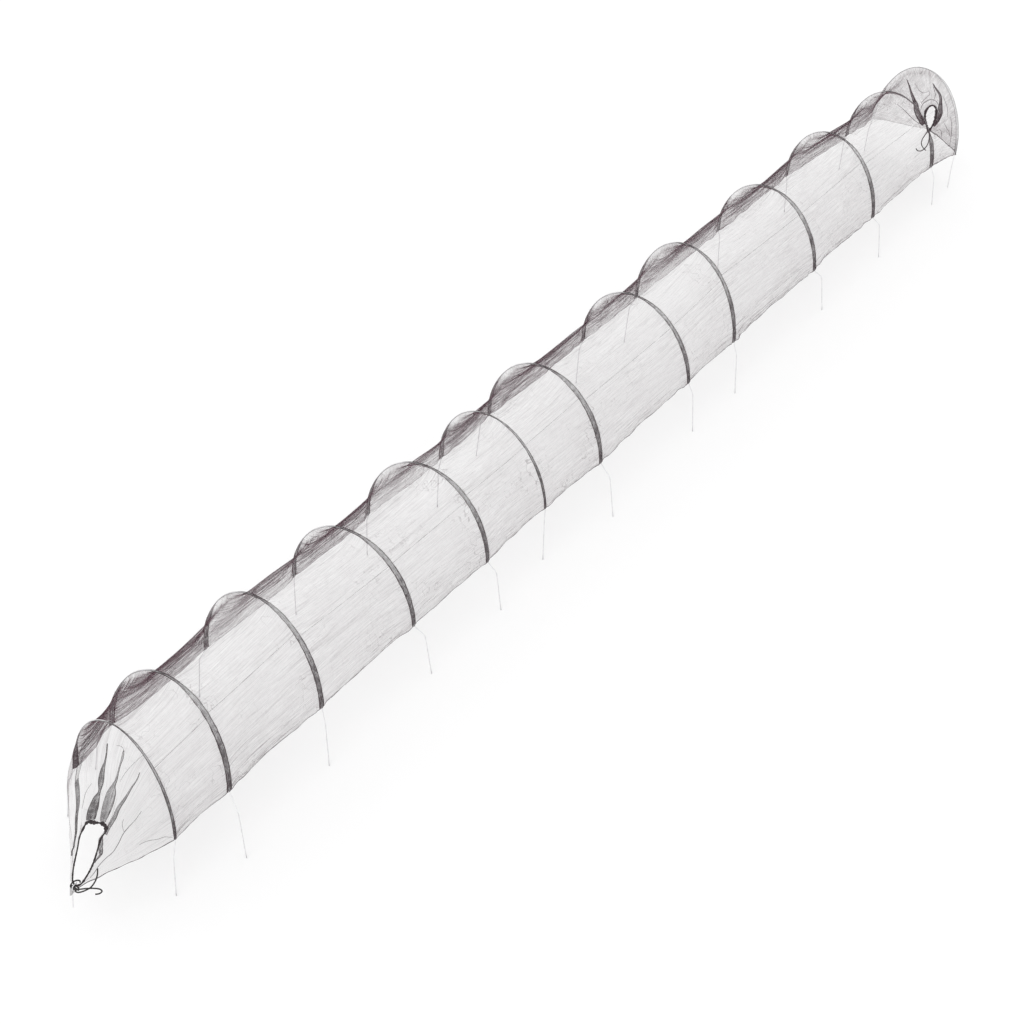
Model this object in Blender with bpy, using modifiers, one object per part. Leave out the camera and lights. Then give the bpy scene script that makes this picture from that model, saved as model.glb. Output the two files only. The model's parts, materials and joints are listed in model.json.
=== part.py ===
"""Row cover tunnel: thirteen wire hoops in sewn sleeves, knitted net between them,
and a net flap at each end that a drawcord gathers to a knot at the hem.

Metres, +Z up. +X runs along the row to the far end, -Y is the near side wall,
z = 0 is the level of the leg tips. Every length below is in metres, and every
angle-like value is a rise over a run.
"""
import math

import bmesh
import bpy
from mathutils import Vector

# ---------------------------------------------------------------- dimensions
ROW_START = -2.79416        # x of the first hoop, so that the box is centred
WIRE_D = 0.004              # galvanised hoop wire
ARCH_STEPS = 12             # straight steps along each arch
SLEEVE_W = 0.026            # width of the flattened sleeve along the row
SLEEVE_T = 0.0080           # its height across the wire, outside
CLOTH_T = 0.0007            # doubled sleeve cloth
NET_T = 0.0010              # net, as a plain solid
SEAM_GAP = 0.0015           # sleeve edge to net edge
LEG_SHOULDER = 0.055        # below the hem, where the leg turns upright
INSET_NEAR = 0.012          # how far the net draws in beside a hoop, on the near shoulder
INSET_FAR = 0.038           # the same over the crown and the far shoulder
INSET_RUN = 0.036           # how far from the sleeve it has drawn in
SAG = 0.012                 # a further sag at mid bay, per metre of bay
CORD_D = 0.004              # drawcord
KNOT_R = 0.0075
PEG_D = 0.004
PEG_LEN = 0.080

# one row for each hoop: distance from the first hoop, crown height over the hem,
# hem height over the leg tips, width at the hem, lean along the row for each
# metre of height, turn along the row for each metre across, leg rake along the row,
# leg splay outward
HOOPS = [
    (0.000, 0.346, 0.222, 0.505, +0.063, +0.076, -0.052, 0.025),
    (0.228, 0.362, 0.253, 0.547, +0.110, -0.014, -0.035, 0.086),
    (0.722, 0.390, 0.254, 0.540, +0.015, -0.031, -0.024, 0.040),
    (1.242, 0.357, 0.254, 0.540, -0.027, -0.100, +0.043, 0.046),
    (1.701, 0.366, 0.254, 0.551, -0.007, -0.100, +0.034, 0.042),
    (2.139, 0.352, 0.253, 0.533, -0.048, +0.023, -0.020, 0.009),
    (2.506, 0.374, 0.254, 0.564, -0.029, -0.017, +0.004, 0.071),
    (3.205, 0.361, 0.253, 0.548, -0.080, -0.014, +0.009, 0.035),
    (3.612, 0.394, 0.254, 0.543, -0.008, +0.064, -0.017, 0.040),
    (4.340, 0.355, 0.253, 0.543, -0.059, +0.047, +0.082, 0.027),
    (4.961, 0.348, 0.253, 0.535, -0.023, +0.170, +0.077, 0.028),
    (5.600, 0.329, 0.219, 0.501, +0.014, +0.055, +0.021, 0.028),
    (5.887, 0.366, 0.174, 0.520, +0.173, +0.150, -0.034, 0.006),
]

# the gathered opening of each end flap: the knot below, the top of the rim above,
# half the width of the opening between them
NEAR_KNOT = (-0.3767, -0.1418, 0.2400)
NEAR_RIM_TOP = (-0.2647, -0.1427, 0.4550)
NEAR_RIM_HALF = 0.039
FAR_KNOT = (5.9550, -0.0534, 0.2000)
FAR_RIM_TOP = (5.9560, -0.0547, 0.3450)
FAR_RIM_HALF = 0.029
RIM_POWER = 2.6             # 2 is an ellipse, more is squarer

# ---------------------------------------------------------------- fresh scene
for old in list(bpy.data.objects):
    bpy.data.objects.remove(old, do_unlink=True)

tunnel = bpy.data.collections.new("row_cover_tunnel")
bpy.context.scene.collection.children.link(tunnel)


def material(name, colour, roughness, metallic):
    mat = bpy.data.materials.new(name)
    mat.use_nodes = True
    shader = mat.node_tree.nodes["Principled BSDF"]
    shader.inputs["Base Color"].default_value = (*colour, 1.0)
    shader.inputs["Roughness"].default_value = roughness
    shader.inputs["Metallic"].default_value = metallic
    mat.diffuse_color = (*colour, 1.0)
    return mat


WIRE = material("galvanised_wire", (0.62, 0.63, 0.64), 0.38, 1.0)
NET = material("knitted_net", (0.055, 0.048, 0.047), 0.85, 0.0)
SLEEVE = material("sleeve_net", (0.040, 0.035, 0.034), 0.85, 0.0)
CORD = material("drawcord", (0.012, 0.012, 0.012), 0.75, 0.0)


def own(mat, name):
    """Each sub-part has a material of its own, made from the shared finish."""
    copy = mat.copy()
    copy.name = name
    return copy


def empty(name, at):
    obj = bpy.data.objects.new(name, None)
    obj.location = at
    obj.empty_display_size = 0.05
    tunnel.objects.link(obj)
    return obj


def add(name, data, mat, parent):
    """The points of data are already measured from the parent's place."""
    obj = bpy.data.objects.new(name, data)
    data.materials.append(own(mat, name + "_finish"))
    obj.parent = parent
    tunnel.objects.link(obj)
    return obj


def rail(name, points, diameter, mat, parent):
    """A round wire or cord through the points, with filled ends."""
    curve = bpy.data.curves.new(name, "CURVE")
    curve.dimensions = "3D"
    curve.bevel_depth = diameter / 2
    curve.bevel_resolution = 2
    curve.use_fill_caps = True
    spline = curve.splines.new("POLY")
    spline.points.add(len(points) - 1)
    for slot, p in zip(spline.points, points):
        slot.co = (*(Vector(p) - parent.location), 1.0)
    return add(name, curve, mat, parent)


def sheet(name, rows, thickness, mat, parent, closed=False):
    """An open surface through rows of points, given its thickness by Solidify."""
    bm = bmesh.new()
    grid = [[bm.verts.new(Vector(p) - parent.location) for p in row] for row in rows]
    for low, high in zip(grid, grid[1:]):
        count = len(low)
        for i in range(count if closed else count - 1):
            j = (i + 1) % count
            bm.faces.new((low[i], low[j], high[j], high[i]))
    bmesh.ops.recalc_face_normals(bm, faces=bm.faces)
    mesh = bpy.data.meshes.new(name)
    bm.to_mesh(mesh)
    bm.free()
    mesh.shade_smooth()
    obj = add(name, mesh, mat, parent)
    shell = obj.modifiers.new("thickness", "SOLIDIFY")
    shell.thickness = thickness
    shell.offset = 0.0
    shell.use_even_offset = True
    return obj


# ---------------------------------------------------------------- hoops
ANGLES = [math.pi * i / ARCH_STEPS for i in range(ARCH_STEPS + 1)]


def on_hoop(k, t):
    """The wire's centre on hoop k: t is 0 at the near foot and pi at the far foot."""
    x, crown, hem, width, lean, turn, _, _ = HOOPS[k]
    y = -width / 2 * math.cos(t)
    rise = crown * math.sin(t)
    return Vector((ROW_START + x + lean * rise + turn * y, y, hem + rise))


def hoop_axes(k, t):
    """(along the row, away from the axis) at angle t: both square to the wire."""
    _, crown, _, width, lean, turn, _, _ = HOOPS[k]
    run = Vector((
        lean * crown * math.cos(t) + turn * width / 2 * math.sin(t),
        width / 2 * math.sin(t),
        crown * math.cos(t),
    )).normalized()
    along = Vector((1.0, -turn, -lean)).normalized()
    return along, along.cross(run).normalized() * -1.0


def leg(k, side):
    """Shoulder and tip of a leg below the hem. side is -1 near and +1 far."""
    hem, rake, splay = HOOPS[k][2], HOOPS[k][6], HOOPS[k][7]
    foot = on_hoop(k, 0.0 if side < 0 else math.pi)
    tilt = math.atan2(math.hypot(rake, splay) * 0.35, hem - LEG_SHOULDER)
    tip_z = WIRE_D / 2 * math.sin(tilt)
    shoulder = foot + Vector((rake * 0.65, side * splay * 0.65, -LEG_SHOULDER))
    tip = foot + Vector((rake, side * splay, tip_z - hem))
    return shoulder, tip


stations = []
for k, row in enumerate(HOOPS):
    station = empty(f"station_{k + 1:02d}", (ROW_START + row[0], 0.0, row[2]))
    stations.append(station)
    near_shoulder, near_tip = leg(k, -1)
    far_shoulder, far_tip = leg(k, +1)
    route = [near_tip, near_shoulder] + [on_hoop(k, t) for t in ANGLES] + [far_shoulder, far_tip]
    rail(f"hoop_wire_{k + 1:02d}", route, WIRE_D, WIRE, station)

    # the sleeve is a flattened tube, six-sided in section, open at both hems
    half_w, half_t = SLEEVE_W / 2 - CLOTH_T / 2, SLEEVE_T / 2 - CLOTH_T / 2
    section = [(-half_w, 0), (-half_w * 0.38, half_t), (half_w * 0.38, half_t),
               (half_w, 0), (half_w * 0.38, -half_t), (-half_w * 0.38, -half_t)]
    rings = []
    for t in ANGLES:
        along, out = hoop_axes(k, t)
        rings.append([on_hoop(k, t) + along * a + out * b for a, b in section])
    sheet(f"sleeve_{k + 1:02d}", rings, CLOTH_T, SLEEVE, station, closed=True)


def sleeve_edge(k, t, side):
    """Where the net is sewn to sleeve k: side is -1 before it and +1 after it."""
    along, _ = hoop_axes(k, t)
    return on_hoop(k, t) + along * side * (SLEEVE_W / 2 + SEAM_GAP)


# ---------------------------------------------------------------- net bays
def ease(x, low, high):
    """0 below low, 1 above high, and a smooth rise between them."""
    u = min(max((x - low) / (high - low), 0.0), 1.0)
    return u * u * (3 - 2 * u)


def inset(t):
    """The hoops stand out like ribs: the net draws in beside them by this much."""
    depth = INSET_NEAR + (INSET_FAR - INSET_NEAR) * ease(t, 0.80, 1.65)
    return depth * ease(t, -0.25, 0.60) * (1 - 0.90 * ease(t, 2.40, math.pi))


def net_point(k, t, s):
    """The net between hoop k and the next: s runs from 0 to 1 along the bay."""
    start, end = sleeve_edge(k, t, +1), sleeve_edge(k + 1, t, -1)
    p = start.lerp(end, s)
    bay = HOOPS[k + 1][0] - HOOPS[k][0]
    hem = HOOPS[k][2] + (HOOPS[k + 1][2] - HOOPS[k][2]) * s
    inward = Vector((0.0, -p.y, hem - p.z))
    drawn = ease(min(s, 1 - s) * bay, -0.6 * INSET_RUN, INSET_RUN)
    depth = inset(t) * drawn + bay * SAG * (0.25 + 0.75 * math.sin(t)) * 4 * s * (1 - s)
    if s in (0.0, 1.0):
        return p
    return p + inward.normalized() * depth


for k in range(len(HOOPS) - 1):
    run = INSET_RUN / (HOOPS[k + 1][0] - HOOPS[k][0])
    rows = [[net_point(k, t, s) for t in ANGLES] for s in (0.0, run, 0.5, 1 - run, 1.0)]
    sheet(f"net_bay_{k + 1:02d}", rows, NET_T, NET, stations[k])


# ---------------------------------------------------------------- gathered ends
def rim_point(knot, top, half, u, grow=0.0):
    """The rim of the opening: u runs from 0 at the knot, up the near side, over
    the top at 0.5 and down the far side to 1. grow moves it outward."""
    knot, top = Vector(knot), Vector(top)
    up = (top - knot).normalized()
    face = up.cross(Vector((0.0, 1.0, 0.0))).normalized()
    across = face.cross(up)
    tall = (top - knot).length / 2
    spare = math.asin(((KNOT_R + 0.0014) / half) ** (RIM_POWER / 2))
    a = spare + (2 * math.pi - 2 * spare) * u
    c, s = math.cos(a), math.sin(a)
    high = tall - (tall + grow) * math.copysign(abs(c) ** (2 / RIM_POWER), c)
    wide = -(half + grow) * math.copysign(abs(s) ** (2 / RIM_POWER), s)
    return knot + up * high + across * wide


RIM_STEPS = ARCH_STEPS      # the net's edge runs beside the cord, step for step


def gathered_end(tag, k, side, knot, top, half):
    """Flap, drawcord, knot and peg at one end. side is -1 near and +1 far."""
    knot = Vector(knot) + Vector((ROW_START, 0, 0))
    top = Vector(top) + Vector((ROW_START, 0, 0))
    gather = empty(f"gather_{tag}", knot)
    ring = [rim_point(knot, top, half, i / RIM_STEPS) for i in range(RIM_STEPS + 1)]
    rail(f"drawcord_{tag}", ring, CORD_D, CORD, gather)

    rows = []
    for s in (0.0, 0.06, 0.30, 0.65, 1.0):
        row = []
        leave = 0.026 * (1 - (1 - min(s / 0.30, 1)) ** 2) * (1 - s)
        for t in ANGLES:
            start = sleeve_edge(k, t, side)
            along, _ = hoop_axes(k, t)
            end = rim_point(knot, top, half, t / math.pi, grow=CORD_D / 2 + NET_T / 2 + 0.0018)
            p = start.lerp(end, s)
            droop = 0.020 * math.sin(t) * 4 * s * (1 - s)
            row.append(p + along * side * (leave + 0.0015 * (1 - s)) - Vector((0.0, 0.0, droop)))
        rows.append(row)
    sheet(f"end_net_{tag}", rows, NET_T, NET, stations[k])

    ball = bmesh.new()
    bmesh.ops.create_uvsphere(ball, u_segments=10, v_segments=6, radius=KNOT_R)
    mesh = bpy.data.meshes.new(f"knot_{tag}")
    ball.to_mesh(mesh)
    ball.free()
    mesh.shade_smooth()
    add(f"knot_{tag}", mesh, CORD, gather)

    # a bent wire pin: a short head over the knot and a shank down beside it,
    # which leans away from the row
    back = side * (KNOT_R + PEG_D / 2 + 0.0020)
    lift = KNOT_R + PEG_D / 2 + 0.0020
    pin = [
        knot + Vector((-back * 0.9, 0.0, lift)),
        knot + Vector((back * 0.55, 0.0, lift)),
        knot + Vector((back * 0.92, 0.0, lift * 0.72)),
        knot + Vector((back, 0.0, lift * 0.30)),
        knot + Vector((back * 1.9, 0.0, -PEG_LEN)),
    ]
    rail(f"ground_peg_{tag}", pin, PEG_D, WIRE, gather)
    return gather, knot


near_gather, near_knot = gathered_end("near", 0, -1, NEAR_KNOT, NEAR_RIM_TOP, NEAR_RIM_HALF)
far_gather, far_knot = gathered_end("far", len(HOOPS) - 1, +1, FAR_KNOT, FAR_RIM_TOP, FAR_RIM_HALF)


# ---------------------------------------------------------------- cord tails
def smooth(points, steps):
    """A smooth curve through the points, as evenly spread points on it."""
    pts = [Vector(p) for p in points]
    ends = [pts[0] * 2 - pts[1]] + pts + [pts[-1] * 2 - pts[-2]]
    fine = []
    for a, b, c, d in zip(ends, ends[1:], ends[2:], ends[3:]):
        for i in range(16):
            u = i / 16
            fine.append(0.5 * (b * 2 + (c - a) * u + (a * 2 - b * 5 + c * 4 - d) * u ** 2
                               + (b * 3 - a - c * 3 + d) * u ** 3))
    fine.append(pts[-1])
    reach = [0.0]
    for a, b in zip(fine, fine[1:]):
        reach.append(reach[-1] + (b - a).length)
    even, at = [], 0
    for n in range(steps + 1):
        want = reach[-1] * n / steps
        while at < len(fine) - 2 and reach[at + 1] < want:
            at += 1
        part = (want - reach[at]) / max(reach[at + 1] - reach[at], 1e-9)
        even.append(fine[at].lerp(fine[at + 1], min(max(part, 0.0), 1.0)))
    return even


def tail(name, knot, gather, route, steps):
    """route holds the points of a loose cord end, measured from the knot."""
    rail(name, smooth([knot + Vector(p) for p in route], steps), CORD_D, CORD, gather)


tail("cord_tail_near_curl", near_knot, near_gather, [
    (-0.0040, -0.0047, 0.0049), (-0.014, -0.015, 0.0145), (-0.0115, -0.033, 0.0225),
    (0.0015, -0.050, 0.0255), (0.0195, -0.066, 0.0210), (0.037, -0.0750, 0.0070),
    (0.046, -0.075, -0.0120), (0.040, -0.068, -0.0235), (0.030, -0.058, -0.0245)], 16)
tail("cord_tail_near_slack", near_knot, near_gather, [
    (-0.0045, -0.0045, -0.0047), (-0.0085, -0.0120, -0.0085), (-0.0040, -0.0250, -0.0050), (0.0070, -0.0410, 0.0050),
    (0.0205, -0.0550, 0.0183), (0.0370, -0.0615, 0.0376), (0.0505, -0.0600, 0.0550),
    (0.0610, -0.0530, 0.0710)], 15)
tail("cord_tail_far_long", far_knot, far_gather, [
    (-0.0035, 0.0050, -0.0068), (-0.008, 0.014, -0.030), (-0.010, 0.024, -0.058),
    (-0.009, 0.024, -0.085), (-0.005, 0.012, -0.105), (-0.002, -0.004, -0.116)], 14)
tail("cord_tail_far_curl", far_knot, far_gather, [
    (-0.0045, -0.0045, -0.0072), (-0.001, -0.010, -0.034), (0.003, -0.008, -0.070),
    (0.003, 0.004, -0.104), (0.002, 0.022, -0.128), (0.000, 0.042, -0.134),
    (-0.002, 0.054, -0.124)], 15)
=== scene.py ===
"""Looks of the row cover tunnel: thirteen wire hoops in sewn sleeves, knitted net
between them, and a net flap at each end drawn to a knot by a drawcord."""
import json
import math

import bmesh
import bpy
import numpy as np
from mathutils import Matrix, Vector

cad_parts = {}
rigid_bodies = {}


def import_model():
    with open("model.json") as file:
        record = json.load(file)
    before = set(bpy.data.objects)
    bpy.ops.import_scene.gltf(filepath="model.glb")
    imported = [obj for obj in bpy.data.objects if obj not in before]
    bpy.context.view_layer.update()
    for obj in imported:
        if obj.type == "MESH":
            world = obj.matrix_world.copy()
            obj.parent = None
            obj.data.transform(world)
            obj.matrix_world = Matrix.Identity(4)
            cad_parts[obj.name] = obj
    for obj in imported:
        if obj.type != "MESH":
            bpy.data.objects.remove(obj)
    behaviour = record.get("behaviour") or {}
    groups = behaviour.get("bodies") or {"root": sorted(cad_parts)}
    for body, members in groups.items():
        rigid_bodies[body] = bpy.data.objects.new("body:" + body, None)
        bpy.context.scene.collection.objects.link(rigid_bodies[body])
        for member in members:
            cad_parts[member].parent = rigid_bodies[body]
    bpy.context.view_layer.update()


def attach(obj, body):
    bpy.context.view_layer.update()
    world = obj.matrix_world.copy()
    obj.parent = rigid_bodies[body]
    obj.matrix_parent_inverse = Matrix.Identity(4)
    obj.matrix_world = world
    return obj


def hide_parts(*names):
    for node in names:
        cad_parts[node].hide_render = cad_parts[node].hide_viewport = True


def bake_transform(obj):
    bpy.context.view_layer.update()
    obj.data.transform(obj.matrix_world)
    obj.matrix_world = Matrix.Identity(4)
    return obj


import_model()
sc = bpy.context.scene

# ------------------------------------------------------------------ dimensions
ROW_START = -2.79416
WIRE_D = 0.004
SLEEVE_T = 0.0080
LEG_SHOULDER = 0.055
SAG = 0.012
CORD_R = 0.0025
KNOT_R = 0.0075
PEG_D, PEG_LEN = 0.004, 0.080
NET_T = 0.0010
RIM_POWER = 2.6
HOOPS = [
    (0.000, 0.346, 0.222, 0.505, +0.063, +0.076, -0.052, 0.025),
    (0.228, 0.362, 0.253, 0.547, +0.110, -0.014, -0.035, 0.086),
    (0.722, 0.390, 0.254, 0.540, +0.015, -0.031, -0.024, 0.040),
    (1.242, 0.357, 0.254, 0.540, -0.027, -0.100, +0.043, 0.046),
    (1.701, 0.366, 0.254, 0.551, -0.007, -0.100, +0.034, 0.042),
    (2.139, 0.352, 0.253, 0.533, -0.048, +0.023, -0.020, 0.009),
    (2.506, 0.374, 0.254, 0.564, -0.029, -0.017, +0.004, 0.071),
    (3.205, 0.361, 0.253, 0.548, -0.080, -0.014, +0.009, 0.035),
    (3.612, 0.394, 0.254, 0.543, -0.008, +0.064, -0.017, 0.040),
    (4.340, 0.355, 0.253, 0.543, -0.059, +0.047, +0.082, 0.027),
    (4.961, 0.348, 0.253, 0.535, -0.023, +0.170, +0.077, 0.028),
    (5.600, 0.329, 0.219, 0.501, +0.014, +0.055, +0.021, 0.028),
    (5.887, 0.366, 0.174, 0.520, +0.173, +0.150, -0.034, 0.006),
]
N = len(HOOPS)
SLEEVE_HALF = 0.0125
NEAR_KNOT, NEAR_RIM_TOP, NEAR_RIM_HALF = (-0.3767, -0.1418, 0.2400), (-0.2647, -0.1427, 0.4550), 0.039
FAR_KNOT, FAR_RIM_TOP, FAR_RIM_HALF = (5.9550, -0.0534, 0.2000), (5.9560, -0.0547, 0.3450), 0.029


# ------------------------------------------------------------------ camera
def set_camera():
    data = bpy.data.cameras.new("camera")
    data.sensor_width = 36.0
    data.lens = 72.33
    data.shift_x, data.shift_y = -0.0016, -0.0008
    data.clip_start, data.clip_end = 0.1, 200.0
    cam = bpy.data.objects.new("camera", data)
    sc.collection.objects.link(cam)
    right = Vector((0.582563, -0.812649, 0.014875))
    up = Vector((0.509694, 0.379518, 0.772126))
    back = -Vector((0.633113, 0.442230, -0.635296))
    m = Matrix((
        (right.x, up.x, back.x, -3.17769 + ROW_START),
        (right.y, up.y, back.y, -3.82062),
        (right.z, up.z, back.z, 5.49068),
        (0, 0, 0, 1),
    ))
    cam.matrix_world = m
    sc.camera = cam


set_camera()


# ------------------------------------------------------------------ small maths
def unit(a):
    return a / np.maximum(np.linalg.norm(a, axis=-1, keepdims=True), 1e-12)


def field(shape, cells, seed):
    """Smooth random values from -1 to 1 over a grid of that shape, with about
    cells bumps along each side."""
    rng = np.random.default_rng(seed)
    cy, cx = max(int(cells[0]), 1), max(int(cells[1]), 1)
    g = rng.uniform(-1, 1, (cy + 3, cx + 3))
    y, x = np.linspace(0, cy, shape[0]), np.linspace(0, cx, shape[1])
    yi, xi = np.minimum(y.astype(int), cy), np.minimum(x.astype(int), cx)
    fy, fx = y - yi, x - xi
    fy, fx = fy * fy * (3 - 2 * fy), fx * fx * (3 - 2 * fx)
    a = g[yi][:, xi] * (1 - fx) + g[yi][:, xi + 1] * fx
    b = g[yi + 1][:, xi] * (1 - fx) + g[yi + 1][:, xi + 1] * fx
    return a * (1 - fy)[:, None] + b * fy[:, None]


def wander(count, cells, seed):
    return field((2, count), (1, cells), seed)[0]


def on_hoop(k, t):
    x, crown, hem, width, lean, turn, _, _ = HOOPS[k]
    y = -width / 2 * np.cos(t)
    rise = crown * np.sin(t)
    return np.stack([ROW_START + x + lean * rise + turn * y, y, hem + rise], -1)


def hoop_axes(k, t):
    _, crown, _, width, lean, turn, _, _ = HOOPS[k]
    run = unit(np.stack([lean * crown * np.cos(t) + turn * width / 2 * np.sin(t),
                         width / 2 * np.sin(t), crown * np.cos(t)], -1))
    along = unit(np.array([1.0, -turn, -lean]))
    return np.broadcast_to(along, run.shape), -unit(np.cross(np.broadcast_to(along, run.shape), run))


def leg(k, side):
    hem, rake, splay = HOOPS[k][2], HOOPS[k][6], HOOPS[k][7]
    foot = on_hoop(k, np.array(0.0 if side < 0 else math.pi))
    tilt = math.atan2(math.hypot(rake, splay) * 0.35, hem - LEG_SHOULDER)
    tip_z = WIRE_D / 2 * math.sin(tilt)
    shoulder = foot + np.array([rake * 0.65, side * splay * 0.65, -LEG_SHOULDER])
    tip = foot + np.array([rake, side * splay, tip_z - hem])
    return shoulder, tip


def ease(x, low, high):
    """0 below low, 1 above high, and a smooth rise between them."""
    u = np.clip((x - low) / (high - low), 0, 1)
    return u * u * (3 - 2 * u)


def inset(t):
    """The hoops stand out like ribs: the net draws in beside them by this much."""
    depth = 0.012 + 0.026 * ease(t, 0.80, 1.65)
    return depth * ease(t, -0.25, 0.60) * (1 - 0.90 * ease(t, 2.40, math.pi))


# how much wider each sleeve is left at its near shoulder, first hoop to last
SLEEVE_FULL = [0.0, 0.25, 0.10, 0.30, 0.20, 0.0, 0.45, 0.20, 0.15, 0.30, 0.20, 0.0, 0.0]


def sleeve_half(k, t):
    """Half the sleeve's width at angle t: it is drawn narrow over the crown."""
    near = 1 - 0.45 * ease(t, 0.35, 1.05) - 0.55 * ease(t, 1.05, 1.52)
    far = ease(t, 2.35, 2.75) if k else ease(t, 2.70, 2.95)
    half = SLEEVE_HALF * (0.40 + 0.60 * near + 0.70 * far)
    half = half * (1 + SLEEVE_FULL[k] * np.exp(-((t - 0.95) / 0.45) ** 2))
    if k in (0, 5):
        half = half * (1 - (0.50 if k == 0 else 0.40) * (1 - far))
    if k == 11:
        half = half * (0.30 + 1.20 * (1 - ease(t, 0.36, 0.66)) + 0.70 * ease(t, 1.9, 2.5))
    return np.maximum(half, 0.0029)


def even_angles(a, b, count):
    """Angles that are evenly spread by arc length, on the mean of two hoops."""
    crown = (HOOPS[a][1] + HOOPS[b][1]) / 2
    half = (HOOPS[a][3] + HOOPS[b][3]) / 4
    t = np.linspace(0, math.pi, 2001)
    step = np.hypot(half * np.sin(t), crown * np.cos(t))
    reach = np.concatenate([[0], np.cumsum((step[1:] + step[:-1]) / 2 * (t[1] - t[0]))])
    return reach[-1], lambda u: np.interp(np.asarray(u) * reach[-1], reach, t)


def sleeve_edge(k, t, side):
    along, _ = hoop_axes(k, t)
    return on_hoop(k, t) + along * (side * (sleeve_half(k, t) + 0.0004))[..., None]


def blend_between(pieces):
    """Bakes each piece's placement into its mesh points, so that it stands where it was built."""
    for piece in pieces:
        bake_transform(piece)


# the drawn rims, as (towards the far side, up) from the knot in the plane of the
# opening, from the knot up the near side, over the top and back to the knot
RIMS = {
    "near": (NEAR_KNOT, NEAR_RIM_TOP, [
        (-0.0067, 0.0073), (-0.0231, 0.0274), (-0.0372, 0.0686), (-0.0455, 0.1065), (-0.0488, 0.1455),
        (-0.0493, 0.1791), (-0.0508, 0.2095), (-0.0610, 0.2366), (-0.0569, 0.2545), (-0.0380, 0.2568),
        (-0.0105, 0.2455), (0.0132, 0.2363), (0.0223, 0.2234), (0.0278, 0.2022), (0.0334, 0.1697),
        (0.0300, 0.1304), (0.0275, 0.0794), (0.0239, 0.0437), (0.0170, 0.0173), (0.0060, 0.0063)]),
    "far": (FAR_KNOT, FAR_RIM_TOP, [
        (-0.0050, 0.0063), (-0.0136, 0.0256), (-0.0233, 0.0645), (-0.0248, 0.1059), (-0.0191, 0.1369),
        (0.0001, 0.1470), (0.0179, 0.1352), (0.0318, 0.1095), (0.0352, 0.0846), (0.0288, 0.0523),
        (0.0168, 0.0273), (0.0058, 0.0069)]),
}


def rim_frame(tag):
    knot, top, _ = RIMS[tag]
    off = np.array([ROW_START, 0, 0])
    knot, top = np.array(knot) + off, np.array(top) + off
    up = (top - knot) / np.linalg.norm(top - knot)
    face = unit(np.cross(up, (0.0, 1.0, 0.0)))
    return knot, up, np.cross(face, up), face


def rim_line(tag, steps):
    knot, up, across, _ = rim_frame(tag)
    return smooth([knot + across * a + up * b for a, b in RIMS[tag][2]], steps)


def rim_at(tag, u, grow=0.0):
    """u runs from 0 at the knot, up the near side, over the top, to 1."""
    _, _, _, face = rim_frame(tag)
    line = rim_line(tag, 400)
    out = unit(np.cross(np.gradient(line, axis=0), face))
    middle = line.mean(axis=0)
    if ((out * (line - middle)).sum(-1)).mean() < 0:
        out = -out
    line = line + out * grow
    at = np.asarray(u, float) * 400
    return np.stack([np.interp(at, np.arange(401), line[:, i]) for i in range(3)], -1)


def smooth(points, steps):
    """A smooth curve through the points, as evenly spread points on it."""
    pts = [np.array(p, float) for p in points]
    ends = [pts[0] * 2 - pts[1]] + pts + [pts[-1] * 2 - pts[-2]]
    fine = []
    for a, b, c, d in zip(ends, ends[1:], ends[2:], ends[3:]):
        for i in range(16):
            u = i / 16
            fine.append(0.5 * (b * 2 + (c - a) * u + (a * 2 - b * 5 + c * 4 - d) * u ** 2
                               + (b * 3 - a - c * 3 + d) * u ** 3))
    fine.append(pts[-1])
    fine = np.array(fine)
    return even(fine, steps)


def even(line, steps):
    """The line's points, spread evenly, steps + 1 of them."""
    line = np.asarray(line, float)
    reach = np.concatenate([[0], np.cumsum(np.linalg.norm(np.diff(line, axis=0), axis=1))])
    at = np.linspace(0, reach[-1], steps + 1)
    return np.stack([np.interp(at, reach, line[:, i]) for i in range(3)], -1)


# ------------------------------------------------------------------ mesh makers
def mesh_from_grid(name, P, uv, attrs=None, closed=False):
    """A sheet through a grid of points P[row][column], with cloth coordinates in
    metres as its UV and any number of named values at its points."""
    rows, cols = P.shape[:2]
    idx = np.arange(rows * cols).reshape(rows, cols)
    if closed:
        idx = np.concatenate([idx, idx[:, :1]], 1)
    a, b, c, d = idx[:-1, :-1], idx[:-1, 1:], idx[1:, 1:], idx[1:, :-1]
    quads = np.stack([a, b, c, d], -1).reshape(-1, 4)
    me = bpy.data.meshes.new(name)
    me.from_pydata(P.reshape(-1, 3).tolist(), [], quads.tolist())
    layer = me.uv_layers.new(name="cloth")
    flat = uv.reshape(-1, 2)[quads.reshape(-1)]
    if closed:   # the last column of faces runs back to the first: carry its v on
        wide = uv[0, 1, 1] - uv[0, 0, 1]
        last = np.zeros(quads.shape[:1], bool).reshape(rows - 1, -1)
        last[:, -1] = True
        fix = flat.reshape(-1, 4, 2)
        fix[last.reshape(-1), 1, 1] = fix[last.reshape(-1), 0, 1] + wide
        fix[last.reshape(-1), 2, 1] = fix[last.reshape(-1), 3, 1] + wide
        flat = fix.reshape(-1, 2)
    layer.data.foreach_set("uv", flat.astype(np.float32).ravel())
    for key, values in (attrs or {}).items():
        at = me.attributes.new(key, "FLOAT", "POINT")
        at.data.foreach_set("value", np.asarray(values, np.float32).ravel())
    me.shade_smooth()
    me.update()
    return me


def place(name, me, *mats):
    ob = bpy.data.objects.new(name, me)
    sc.collection.objects.link(ob)
    for m in mats:
        ob.data.materials.append(m)
    return ob


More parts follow.
